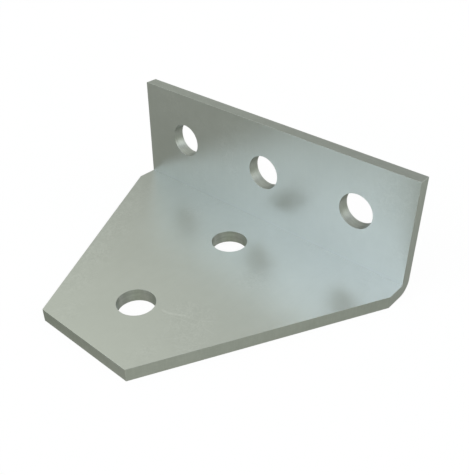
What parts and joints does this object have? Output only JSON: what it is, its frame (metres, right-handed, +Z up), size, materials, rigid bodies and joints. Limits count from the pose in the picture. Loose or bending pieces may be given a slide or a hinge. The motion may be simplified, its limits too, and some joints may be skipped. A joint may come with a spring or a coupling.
{
  "type": "strut angle bracket",
  "caption": "Right-angle strut bracket folded from steel plate: an upright leg with a row of bolt holes, and a base leg that tapers to a square nose with bolt holes on its centre line.",
  "frame": {"origin": "under the middle of the bracket's box, on the underside of the base leg", "axes": "+X along the fold, +Y from the nose of the base leg towards the back of the upright leg, +Z up along the upright leg"},
  "size_m": [0.128, 0.096, 0.047],
  "materials": {
    "zinc_steel": "satin zinc-plated steel plate with fine handling marks"
  },
  "bodies": {
    "root": {"bracket": "zinc_steel"}
  },
  "joints": []
}
